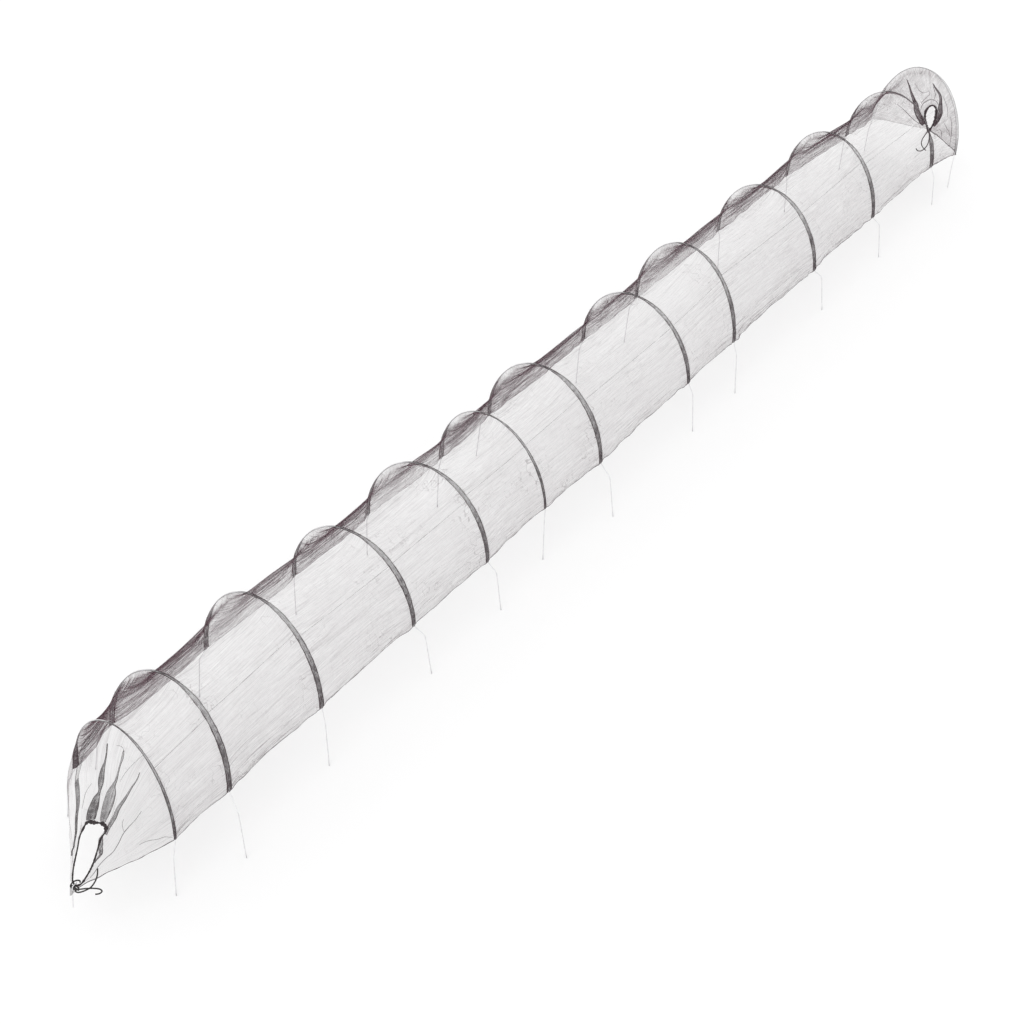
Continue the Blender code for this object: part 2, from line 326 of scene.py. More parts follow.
def tube_parts(line, radius, sides=10, flat=1.0, normal=None, caps=True, twist=0.0):
    """Points, faces and (length, round) coordinates of a tube along a line. radius
    is one value or one for each point; flat squeezes it along its normal."""
    line = np.asarray(line, float)
    n = len(line)
    radius = np.broadcast_to(np.asarray(radius, float), (n,))
    tan = unit(np.gradient(line, axis=0))
    if normal is None:
        ref = np.array([0.0, 0.0, 1.0]) if abs(tan[0][2]) < 0.9 else np.array([1.0, 0.0, 0.0])
        nor = np.zeros_like(line)
        cur = unit(np.cross(tan[0], np.cross(ref, tan[0])))
        for i in range(n):
            cur = unit(cur - tan[i] * (cur @ tan[i]))
            nor[i] = cur
    else:
        nor = np.broadcast_to(np.asarray(normal, float), line.shape)
        nor = unit(nor - tan * (nor * tan).sum(-1, keepdims=True))
    bi = np.cross(tan, nor)
    ang = np.linspace(0, 2 * math.pi, sides, endpoint=False)
    ang = ang[None, :] + twist * np.arange(n)[:, None]
    ring = (line[:, None] + bi[:, None] * (np.cos(ang) * radius[:, None])[..., None]
            + nor[:, None] * (np.sin(ang) * radius[:, None] * flat)[..., None])
    pts = ring.reshape(-1, 3)
    idx = np.arange(n * sides).reshape(n, sides)
    nxt = np.roll(idx, -1, 1)
    quads = np.stack([idx[:-1], nxt[:-1], nxt[1:], idx[1:]], -1).reshape(-1, 4).tolist()
    reach = np.concatenate([[0], np.cumsum(np.linalg.norm(np.diff(line, axis=0), axis=1))])
    uv = np.stack([np.repeat(reach, sides), np.tile(np.arange(sides) / sides, n)], -1)
    if caps:
        quads.append(idx[0][::-1].tolist())
        quads.append(idx[-1].tolist())
    return pts, quads, uv


def mesh_from_parts(name, parts):
    """One mesh from several (points, faces, uv) parts."""
    pts, faces, uvs, base = [], [], [], 0
    for p, f, u in parts:
        pts.append(p)
        faces += [[i + base for i in q] for q in f]
        uvs.append(u)
        base += len(p)
    pts, uvs = np.concatenate(pts), np.concatenate(uvs)
    me = bpy.data.meshes.new(name)
    me.from_pydata(pts.tolist(), [], faces)
    layer = me.uv_layers.new(name="cloth")
    loops = np.array([i for q in faces for i in q])
    layer.data.foreach_set("uv", uvs[loops].astype(np.float32).ravel())
    me.shade_smooth()
    me.update()
    return me


# ------------------------------------------------------------------ materials
class Nodes:
    """Short names for building a node tree."""

    def __init__(self, name):
        self.mat = bpy.data.materials.new(name)
        self.mat.use_nodes = True
        self.tree = self.mat.node_tree
        self.bsdf = self.tree.nodes["Principled BSDF"]

    def add(self, kind, **inputs):
        node = self.tree.nodes.new(kind)
        for key, value in inputs.items():
            key = key.replace("_", " ")
            if isinstance(value, bpy.types.NodeSocket):
                self.tree.links.new(value, node.inputs[key])
            else:
                node.inputs[key].default_value = value
        return node

    def math(self, op, a, b=0.0, clamp=False):
        node = self.tree.nodes.new("ShaderNodeMath")
        node.operation = op
        node.use_clamp = clamp
        for i, v in enumerate((a, b)):
            if isinstance(v, bpy.types.NodeSocket):
                self.tree.links.new(v, node.inputs[i])
            else:
                node.inputs[i].default_value = v
        return node.outputs[0]

    def link(self, a, b):
        self.tree.links.new(a, b)

    def uv(self, scale):
        at = self.tree.nodes.new("ShaderNodeUVMap")
        at.uv_map = "cloth"
        m = self.add("ShaderNodeMapping", Scale=(*scale, 1.0))
        self.link(at.outputs["UV"], m.inputs["Vector"])
        return m.outputs["Vector"]

    def noise(self, vector, scale, detail=2.0, rough=0.5):
        n = self.add("ShaderNodeTexNoise", Scale=scale, Detail=detail, Roughness=rough)
        self.link(vector, n.inputs["Vector"])
        return n.outputs["Fac"]

    def ramp(self, fac, *stops):
        r = self.tree.nodes.new("ShaderNodeValToRGB")
        el = r.color_ramp.elements
        while len(el) > len(stops):
            el.remove(el[-1])
        while len(el) < len(stops):
            el.new(0.5)
        for e, (pos, col) in zip(el, stops):
            e.position = pos
            e.color = (*col, 1.0) if len(col) == 3 else col
        self.link(fac, r.inputs["Fac"])
        return r.outputs["Color"]

    def attribute(self, name):
        a = self.tree.nodes.new("ShaderNodeAttribute")
        a.attribute_name = name
        return a.outputs["Fac"]

    def bump(self, height, strength, distance):
        b = self.add("ShaderNodeBump", Strength=strength, Distance=distance)
        self.link(height, b.inputs["Height"])
        self.link(b.outputs["Normal"], self.bsdf.inputs["Normal"])


def net_material(name, cover, dark, light, streak=0.30, knit=0.35, squiggle=1.0):
    """Knitted net: threads cover a share of it, more in streaks along the row and
    where the point value dense says it is bunched."""
    n = Nodes(name)
    # streaks along the row, from hair-thin to a few centimetres
    thin = n.noise(n.uv((5.5, 190.0)), 1.0, 3.0, 0.7)
    wide = n.noise(n.uv((0.9, 40.0)), 1.0, 2.0, 0.5)
    fine = n.noise(n.uv((14.0, 340.0)), 1.0, 2.0, 0.6)
    slub = n.noise(n.uv((75.0, 40.0)), 1.0, 2.0, 0.6)
    lines = n.math("ADD", n.math("MULTIPLY", n.math("SUBTRACT", thin, 0.5), 3.4 * streak),
                   n.math("MULTIPLY", n.math("SUBTRACT", wide, 0.5), 0.8 * streak))
    lines = n.math("ADD", lines, n.math("MULTIPLY", n.math("SUBTRACT", fine, 0.5), 4.5 * streak))
    patch = n.math("ADD", n.math("MULTIPLY", n.noise(n.uv((3.0, 6.0)), 1.0, 2.0, 0.5), 1.6), 0.20)
    lines = n.math("MULTIPLY", lines, patch)
    lines = n.math("ADD", lines, n.math("MULTIPLY", n.math("SUBTRACT", slub, 0.5), 1.1 * streak))
    # pulled threads: thin dark lines that keep to one height
    pulled = n.noise(n.uv((0.7, 30.0)), 1.0, 1.0, 0.5)
    pulled = n.math("ABSOLUTE", n.math("SUBTRACT", pulled, 0.5))
    pulled = n.math("SUBTRACT", 1.0, n.math("DIVIDE", pulled, 0.018), clamp=True)
    # small creases that wander, where the net is slack
    creases = n.noise(n.uv((17.0, 12.0)), 1.0, 2.0, 0.55)
    creases = n.math("ABSOLUTE", n.math("SUBTRACT", creases, 0.5))
    creases = n.math("SUBTRACT", 1.0, n.math("DIVIDE", creases, 0.012), clamp=True)
    patchy = n.noise(n.uv((5.0, 7.0)), 1.0, 1.0, 0.5)
    patchy = n.math("MULTIPLY", n.math("SUBTRACT", patchy, 0.47), 6.0, clamp=True)
    creases = n.math("MULTIPLY", n.math("MULTIPLY", creases, patchy), n.attribute("crumple"))
    # the knit itself: ribs along the row and finer loops across it
    ribs = n.tree.nodes.new("ShaderNodeTexWave")
    ribs.wave_type, ribs.bands_direction, ribs.wave_profile = "BANDS", "Y", "SIN"
    ribs.inputs["Scale"].default_value = 1.0
    ribs.inputs["Distortion"].default_value = 0.6
    ribs.inputs["Detail"].default_value = 1.0
    n.link(n.uv((20.0, 110.0)), ribs.inputs["Vector"])
    loops = n.tree.nodes.new("ShaderNodeTexWave")
    loops.wave_type, loops.bands_direction, loops.wave_profile = "BANDS", "X", "SIN"
    loops.inputs["Scale"].default_value = 1.0
    loops.inputs["Distortion"].default_value = 0.6
    n.link(n.uv((150.0, 20.0)), loops.inputs["Vector"])
    weave = n.math("ADD", n.math("MULTIPLY", n.math("SUBTRACT", ribs.outputs["Fac"], 0.5), knit),
                   n.math("MULTIPLY", n.math("SUBTRACT", loops.outputs["Fac"], 0.5), knit * 0.7))
    share = n.math("MULTIPLY", n.math("ADD", n.math("ADD", lines, weave), 1.0), cover)
    share = n.math("MULTIPLY", share, n.attribute("dense"))
    marks = n.math("ADD", n.math("MULTIPLY", pulled, 0.10 * squiggle), n.math("MULTIPLY", creases, 0.36 * squiggle))
    share = n.math("ADD", share, marks)
    share = n.math("MINIMUM", n.math("MAXIMUM", share, 0.02), 0.97)
    n.link(share, n.bsdf.inputs["Alpha"])
    tone = n.noise(n.uv((60.0, 60.0)), 1.0, 2.0)
    n.link(n.ramp(tone, (0.25, dark), (0.75, light)), n.bsdf.inputs["Base Color"])
    rough = n.math("ADD", n.math("MULTIPLY", thin, 0.2), 0.70)
    n.link(rough, n.bsdf.inputs["Roughness"])
    n.bsdf.inputs["Specular IOR Level"].default_value = 0.25
    n.bump(weave, 0.4, 0.0004)
    return n.mat


def wire_material(name, low=(0.68, 0.68, 0.69), high=(0.86, 0.86, 0.87)):
    """Galvanised wire: cloudy zinc with faint drawing marks along it."""
    n = Nodes(name)
    cloud = n.noise(n.uv((60.0, 2.0)), 1.0, 4.0, 0.6)
    marks = n.noise(n.uv((25.0, 40.0)), 1.0, 2.0)
    n.link(n.ramp(cloud, (0.30, low), (0.70, high)), n.bsdf.inputs["Base Color"])
    n.bsdf.inputs["Metallic"].default_value = 1.0
    rough = n.math("ADD", n.math("MULTIPLY", marks, 0.25), 0.25)
    n.link(rough, n.bsdf.inputs["Roughness"])
    n.bump(marks, 0.25, 0.0002)
    return n.mat


def cord_material(name, low=(0.012, 0.011, 0.011), high=(0.045, 0.041, 0.040)):
    """Braided cord: crossing strands run round it both ways."""
    n = Nodes(name)
    waves = []
    for slope in (1.0, -1.0):
        at = n.uv((330.0, 4.0 * slope))
        w = n.tree.nodes.new("ShaderNodeTexWave")
        w.wave_type, w.bands_direction, w.wave_profile = "BANDS", "DIAGONAL", "SIN"
        w.inputs["Scale"].default_value = 1.0
        n.link(at, w.inputs["Vector"])
        waves.append(w.outputs["Fac"])
    braid = n.math("MAXIMUM", waves[0], waves[1])
    n.link(n.ramp(braid, (0.35, low), (0.95, high)), n.bsdf.inputs["Base Color"])
    n.bsdf.inputs["Roughness"].default_value = 0.7
    n.bsdf.inputs["Specular IOR Level"].default_value = 0.3
    n.bump(braid, 0.6, 0.0006)
    return n.mat


NET_DARK, NET_LIGHT = (0.082, 0.048, 0.059), (0.136, 0.083, 0.100)
NET = net_material("knitted_net", 0.163, NET_DARK, NET_LIGHT, streak=0.58)
FLAP = net_material("flap_net", 0.136, NET_DARK, NET_LIGHT, streak=0.46)
SLEEVE = net_material("sleeve_net", 0.285, (0.044, 0.033, 0.037), (0.090, 0.069, 0.075), streak=0.5, knit=0.55, squiggle=0.0)
FOLD = net_material("folded_net", 0.42, (0.045, 0.037, 0.040), (0.085, 0.070, 0.074), streak=0.5, knit=0.4, squiggle=0.0)
TRIM = net_material("turned_edge", 0.55, (0.040, 0.033, 0.035), (0.080, 0.067, 0.070), streak=0.5, knit=0.5, squiggle=0.0)
CASING = net_material("gathered_casing", 0.88, (0.022, 0.018, 0.019), (0.060, 0.049, 0.052), streak=0.2, knit=0.25, squiggle=0.0)
WIRE = wire_material("galvanised_wire")
CORD = cord_material("braided_cord")
STITCH = cord_material("sleeve_stitch", (0.030, 0.025, 0.025), (0.075, 0.062, 0.060))


# ------------------------------------------------------------------ hoop wires
def wire_piece(k):
    t = np.linspace(0, math.pi, 61)
    arch = on_hoop(k, t)
    near_s, near_tip = leg(k, -1)
    far_s, far_tip = leg(k, +1)
    foot_n, foot_f = arch[0], arch[-1]
    # the bend at the shoulder is a small curve, not a corner
    def down(foot, shoulder, tip):
        pre = foot + (shoulder - foot) * np.linspace(0.08, 0.72, 6)[:, None]
        bend = []
        a, b = foot + (shoulder - foot) * 0.82, shoulder + (tip - shoulder) * 0.09
        for u in np.linspace(0, 1, 6):
            bend.append(a * (1 - u) ** 2 + shoulder * 2 * u * (1 - u) + b * u ** 2)
        post = b + (tip - b) * np.linspace(0.15, 1.0, 8)[:, None]
        return np.concatenate([pre, bend, post])
    line = np.concatenate([down(foot_n, near_s, near_tip)[::-1], arch, down(foot_f, far_s, far_tip)])
    me = mesh_from_parts(f"wire_{k + 1:02d}", [tube_parts(line, WIRE_D / 2, 10)])
    ob = place(f"wire_{k + 1:02d}", me, WIRE)
    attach(ob, f"hoop_{k + 1:02d}")
    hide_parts(f"hoop_wire_{k + 1:02d}")
    return ob


wires = [wire_piece(k) for k in range(N)]


# ------------------------------------------------------------------ sleeves
def sleeve_cover(k, t):
    """How densely the sleeve's cloth is bunched at angle t."""
    c = 1.12 + 1.20 * (1 - ease(t, 0.05, 1.10)) + 1.0 * np.exp(-((t - 1.60) / 0.22) ** 2)
    far = ease(t, 1.75, 1.95)
    c = c * (1 - far) + far * (0.30 + 1.50 * ease(t, 2.35, 2.75))
    if k == 0:
        c = c * (1 - 0.35 * ease(t, 1.75, 1.95) + 0.9 * ease(t, 2.65, 2.95))
    if k == 11:
        c = c * (1 + 0.8 * ease(t, 0.5, 0.8) * (1 - far))
    if k == 12:
        c = 0.34 + 0.9 * (1 - ease(t, 0.03, 0.35))
    return c


def sleeve_piece(k):
    """Two layers of net stitched together along both sides of the wire, with the
    wire's round between them, bunched a little towards the hems."""
    steps = 150
    arc, angle = even_angles(k, k, 0)
    u = np.linspace(0, 1, steps + 1)
    t = angle(u)
    mid = on_hoop(k, t)
    along, out = hoop_axes(k, t)
    wob = wander(steps + 1, 60, 900 + k) * 0.06 + wander(steps + 1, 14, 930 + k) * 0.06
    half = sleeve_half(k, t) * (1 + wob)
    a = np.array([-1.0, -0.86, -0.55, -0.25, 0.0, 0.25, 0.55, 0.86])
    a = np.concatenate([a, -a])
    b = np.array([0.0, 0.08, 0.50, 0.90, 1.0, 0.90, 0.50, 0.08])
    b = np.concatenate([b, -b])
    tall = 0.0028
    P = (mid[:, None] + along[:, None] * (a[None, :] * half[:, None])[..., None]
         + out[:, None] * (b[None, :] * tall * (1 + 0.12 * field((steps + 1, 16), (70, 4), 960 + k)))[..., None])
    round_ = np.cumsum(np.concatenate([[0], np.hypot(np.diff(a) * 0.012, np.diff(b) * tall)]))
    uv = np.stack(np.broadcast_arrays(u[:, None] * arc, round_[None, :]), -1)
    edge = 1 + 0.7 * (np.abs(a) > 0.8)
    spots = 1 + 0.45 * field((steps + 1, 16), (130, 6), 990 + k)
    dense = sleeve_cover(k, t)[:, None] * edge[None, :] * spots
    me = mesh_from_grid(f"sleeve_cloth_{k + 1:02d}", P, uv, {"dense": dense, "crumple": dense * 0}, closed=True)
    ob = place(f"sleeve_cloth_{k + 1:02d}", me, SLEEVE)
    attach(ob, f"hoop_{k + 1:02d}")
    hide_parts(f"sleeve_{k + 1:02d}")

    # a line of stitching along each side
    parts = []
    for side in (-1, 1):
        bite = 0.00025 * np.sin(u * arc / 0.006 * 2 * math.pi)
        line = mid + along * ((side * (half * 0.95 + bite))[:, None]) + out * 0.0006
        r = 0.00062 + 0.00016 * np.sin(u * arc / 0.006 * 2 * math.pi)
        r = r * (1 - 0.45 * ease(t, 1.80, 2.0) * (1 - ease(t, 2.4, 2.6)))
        if k == 12:
            r = r * 0.75
        parts.append(tube_parts(line, r, 6))
    st = place(f"sleeve_stitching_{k + 1:02d}", mesh_from_parts(f"sleeve_stitching_{k + 1:02d}", parts), STITCH)
    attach(st, f"hoop_{k + 1:02d}")
    return ob


sleeves = [sleeve_piece(k) for k in range(N)]


# ------------------------------------------------------------------ net bays
# how tightly the far wall of each bay is bunched, first bay to last
BUNCHED = [0.95, 1.08, 0.72, 0.96, 0.64, 1.00, 1.08, 0.90, 0.90, 1.00, 1.00, 1.00]
COLUMNS = 300           # threads' ripples across the net, two columns to a ripple
SEAM_U = 0.300          # the lengthwise seam, as a share of the arc from the near hem


def grid_normals(P):
    ds = np.gradient(P, axis=0)
    dt = np.gradient(P, axis=1)
    return unit(np.cross(ds, dt))


def bay_piece(k):
    bay = HOOPS[k + 1][0] - HOOPS[k][0]
    rows = max(20, int(round(bay / 0.013)))
    arc, angle = even_angles(k, k + 1, 0)
    rng = np.random.default_rng(100 + k)
    u = np.linspace(0, 1, COLUMNS + 1)
    u[1:-1] += rng.uniform(-0.28, 0.28, COLUMNS - 1) / COLUMNS
    s = np.linspace(0, 1, rows + 1)
    s = 0.30 * s + 0.70 * (0.5 - 0.5 * np.cos(math.pi * s))      # closer rows beside the hoops
    t = angle(u)
    start, end = sleeve_edge(k, t, +1), sleeve_edge(k + 1, t, -1)
    S = start[None] * (1 - s)[:, None, None] + end[None] * s[:, None, None]
    hem = HOOPS[k][2] + (HOOPS[k + 1][2] - HOOPS[k][2]) * s
    inward = np.zeros_like(S)
    inward[..., 1] = -S[..., 1]
    inward[..., 2] = hem[:, None] - S[..., 2]
    inward = unit(inward)
    shape = S.shape[:2]
    U = np.broadcast_to(u[None], shape)
    T = np.broadcast_to(t[None], shape)
    near_edge = np.minimum(s, 1 - s)[:, None] * bay         # metres from the nearer sleeve
    hem_gap = np.minimum(U, 1 - U) * arc                     # metres from the nearer hem
    far_side = ease(T, 2.00, 2.55)
    over = ease(T, 1.50, 1.80) * (1 - ease(T, 2.35, 2.60))   # crown to far shoulder

    drawn = 1 - 0.50 * np.exp(-(near_edge / 0.008) ** 1.3) - 0.50 * np.exp(-(near_edge / 0.048) ** 1.5)
    sag = 4 * s * (1 - s)
    low = np.where(T < 1.5, 1.0, 0.25)
    if k == 0:
        drawn = drawn * (1 - 0.5 * ease(T, 1.4, 1.8))        # the short first bay is stretched nearly straight
    depth = inset(T) * drawn + bay * SAG * (low + (1.5 - low) * np.sin(T)) * sag[:, None]
    depth = depth * (1 + 0.10 * field(shape, (max(2, bay / 0.12), 6), 180 + k))
    S = S + inward * depth[..., None]

    fade = np.clip(near_edge / 0.02, 0, 1)
    n = -inward
    # slack between the hoops, tension creases along the row, puckers at the sleeves
    slack = 0.0030 * field(shape, (max(2, bay / 0.16), 9), 200 + k) * fade
    crease = field(shape, (max(1, bay / 0.30), 46), 300 + k)
    crease = -0.0030 * np.maximum(0, 1 - np.abs(crease) * 3.2) * fade * (0.6 + 0.8 * np.abs(field(shape, (3, 5), 350 + k)))
    pucker = 0.0036 * (1 - 0.6 * over) * field(shape, (2, 64), 400 + k) * np.exp(-near_edge / 0.035) * np.clip(near_edge / 0.006, 0, 1)
    foot = 0.0045 * min(1, bay / 0.4) * field(shape, (max(3, bay / 0.05), 20), 450 + k) * np.exp(-hem_gap / 0.06) * fade
    S = S + n * (slack + crease + pucker + foot)[..., None]
    # the hem rises and dips a little, more between the hoops
    for col, seed, big in ((0, 500, 0.0026 * min(1, bay / 0.4)), (COLUMNS, 540, 0.0022 * min(1, bay / 0.4))):
        dip = big * wander(rows + 1, max(3, bay / 0.055), seed + k) + 0.0014 * wander(rows + 1, bay / 0.018, seed + 20 + k)
        reach = (U if col == 0 else 1 - U) * arc
        S[..., 2] += dip[:, None] * np.exp(-reach / 0.05) * np.clip(near_edge / 0.03, 0, 1)

    # ripples: one thread's width each, so that the net is denser where it is seen aslant
    sign = np.where(np.arange(COLUMNS + 1) % 2, 1.0, -1.0)[None]
    calm = 1 - 0.45 * ease(T, 1.25, 1.60)
    size = 0.00118 * (1.0 + calm * (0.50 * field(shape, (max(1, bay / 0.25), 120), 600 + k)
                                    + 0.35 * field(shape, (max(1, bay / 0.4), 18), 620 + k))
                      + 0.65 * field(shape, (max(2, bay / 0.05), 210), 630 + k)) * (1 + 0.25 * far_side)
    P = S + n * (sign * size)[..., None]
    uv = np.stack([np.broadcast_to(s[:, None] * bay + HOOPS[k][0], shape), U * arc], -1)
    dense = (1.0 + 0.35 * np.exp(-near_edge / 0.010) + 0.35 * np.exp(-hem_gap / 0.03)
             + 0.22 * np.exp(-near_edge / 0.05) * field(shape, (2, 60), 640 + k)
             + 0.14 * field(shape, (4, 7), 660 + k))
    dense = dense * (1 + 0.95 * BUNCHED[k] * ease(T, 2.40, 2.65) + 0.36 * ease(T, 1.35, 1.7) * (1 - far_side) + 0.38 * (1 - ease(T, 0.0, 0.75)))
    dense = dense * (1 - 0.28 * np.exp(-((T - 2.38) / 0.15) ** 2))
    dense = dense * (1 + (BUNCHED[k] - 1) * far_side + (0.45 * over if k == 0 else 0))
    dense = dense * (1 - 0.42 * over * np.exp(-(near_edge / 0.010) ** 2))
    dense = dense * (1 + 0.60 * np.exp(-((near_edge - 0.020) / 0.009) ** 2) * ease(T, 1.55, 1.85) * (1 - ease(T, 2.50, 2.75)))
    crumple = np.clip(0.25 + 0.9 * np.exp(-near_edge / 0.07) + 0.6 * np.exp(-hem_gap / 0.10), 0, 1.2)
    name = f"net_{k + 1:02d}"
    ob = place(name, mesh_from_grid(name, P, uv, {"dense": dense, "crumple": crumple}), NET)
    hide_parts(f"net_bay_{k + 1:02d}")

    # hems and the lengthwise seam
    parts = []
    for col, wide, thick in ((0, 0.0019, 0.35), (COLUMNS, 0.0007, 0.35)):
        line = even((P[:, col] + S[:, col]) / 2, max(30, int(bay / 0.008)))
        m = len(line)
        r = wide * (1 + 0.45 * wander(m, m / 3, 700 + k + col) + 0.25 * wander(m, m / 8, 720 + k + col))
        parts.append(tube_parts(line, r, 6, flat=thick, normal=(0, -1, 0)))
    at = SEAM_U + 0.012 * np.sin(k * 1.7)
    j = int(round(at * COLUMNS))
    line = even(S[:, j] + n[:, j] * 0.0016, max(30, int(bay / 0.010)))
    m = len(line)
    parts.append(tube_parts(line, (0.00060 if k < 2 else 0.00045) * (1 + 0.5 * wander(m, m / 3, 760 + k)), 6, flat=0.6, normal=tuple(n[rows // 2, j])))
    name = f"net_edges_{k + 1:02d}"
    trim = place(name, mesh_from_parts(name, parts), TRIM)
    add_dense(trim, 1.0)
    blend_between((ob, trim))
    run = float(np.linalg.norm(np.diff(S, axis=0), axis=-1).sum(axis=0).mean())
    flat = (round(run, 3), round(float(np.linalg.norm(np.diff(S, axis=1), axis=-1).sum(axis=1).mean()), 3))
    print("net", k + 1, flat, "share", round(sheet_area(ob) / flat[0] / flat[1], 2))
    return ob


def sheet_area(ob):
    """The area of a piece's mesh, for the sizes printed for its cloth."""
    bm = bmesh.new()
    bm.from_mesh(ob.data)
    total = sum(f.calc_area() for f in bm.faces)
    bm.free()
    return total


def add_dense(ob, value):
    at = ob.data.attributes.get("dense") or ob.data.attributes.new("dense", "FLOAT", "POINT")
    values = np.full(len(ob.data.vertices), value, np.float32) if np.isscalar(value) else np.asarray(value, np.float32).ravel()
    at.data.foreach_set("value", values)


bays = [bay_piece(k) for k in range(N - 1)]


# ------------------------------------------------------------------ end flaps
def sample(S, u, v):
    """The point of a grid at u along its columns and v along its rows."""
    rows, cols = S.shape[0] - 1, S.shape[1] - 1
    y, x = np.clip(v, 0, 1) * rows, np.clip(u, 0, 1) * cols
    i, j = np.minimum(y.astype(int), rows - 1), np.minimum(x.astype(int), cols - 1)
    fy, fx = (y - i)[:, None], (x - j)[:, None]
    return (S[i, j] * (1 - fy) * (1 - fx) + S[i, j + 1] * (1 - fy) * fx
            + S[i + 1, j] * fy * (1 - fx) + S[i + 1, j + 1] * fy * fx)


FLAP_ROWS, FLAP_COLS = 60, 300


def flap_base(tag):
    """The plain surface of an end flap, before its folds, and its outward normals."""
    k, side = (0, -1) if tag == "near" else (N - 1, +1)
    arc, angle = even_angles(k, k, 0)
    u = np.linspace(0, 1, FLAP_COLS + 1)
    t = angle(u)
    s = np.linspace(0, 1, FLAP_ROWS + 1)
    start = sleeve_edge(k, t, side)
    along, _ = hoop_axes(k, t)
    end = rim_at(tag, t / math.pi, grow=0.0035)
    leave = 0.026 * (1 - (1 - np.minimum(s / 0.30, 1)) ** 2) * (1 - s)
    S = start[None] * (1 - s)[:, None, None] + end[None] * s[:, None, None]
    S = S + along[None] * (side * (leave + 0.0004 * (1 - s)))[:, None, None]
    S[..., 2] -= 0.020 * np.sin(t)[None] * (4 * s * (1 - s))[:, None]
    n = grid_normals(S)
    if n[FLAP_ROWS // 2, FLAP_COLS // 2, 0] * side < 0:
        n = -n
    return S, n, u, t, s, start, end, arc


def fold_parts(S, n, path, edges, lift):
    """A fold that lies on the flap: a flattened tube along its path, and a tight
    crease along one or both of its sides."""
    line = smooth(path, 48)
    u, v, w = line[:, 0], line[:, 1], np.maximum(line[:, 2], 0.0004)
    c = sample(S, u, v)
    nor = unit(sample(n, u, v))
    tan = unit(np.gradient(c, axis=0))
    side = unit(np.cross(nor, tan))
    ang = np.linspace(0, 2 * math.pi, 10, endpoint=False)
    ring = (c[:, None] + nor[:, None] * lift + side[:, None] * (np.cos(ang)[None] * w[:, None])[..., None]
            + nor[:, None] * (np.sin(ang) * 0.0020)[None, :, None])
    idx = np.arange(49 * 10).reshape(49, 10)
    nxt = np.roll(idx, -1, 1)
    faces = np.stack([idx[:-1], nxt[:-1], nxt[1:], idx[1:]], -1).reshape(-1, 4).tolist()
    faces += [idx[0][::-1].tolist(), idx[-1].tolist()]
    reach = np.concatenate([[0], np.cumsum(np.linalg.norm(np.diff(c, axis=0), axis=1))])
    uv = np.stack([np.repeat(reach, 10), np.tile(np.cos(ang), 49) * np.repeat(w, 10)], -1)
    body = (ring.reshape(-1, 3), faces, uv)
    tubes = []
    for sgn, r in zip((-1, 1), edges):
        if r > 0:
            rr = r * (0.45 + 0.55 * np.sin(np.linspace(0.12, 1, 49) * math.pi / 1.15))
            tubes.append(tube_parts(c + nor * lift + side * (sgn * w)[:, None], rr, 6))
    return body, tubes


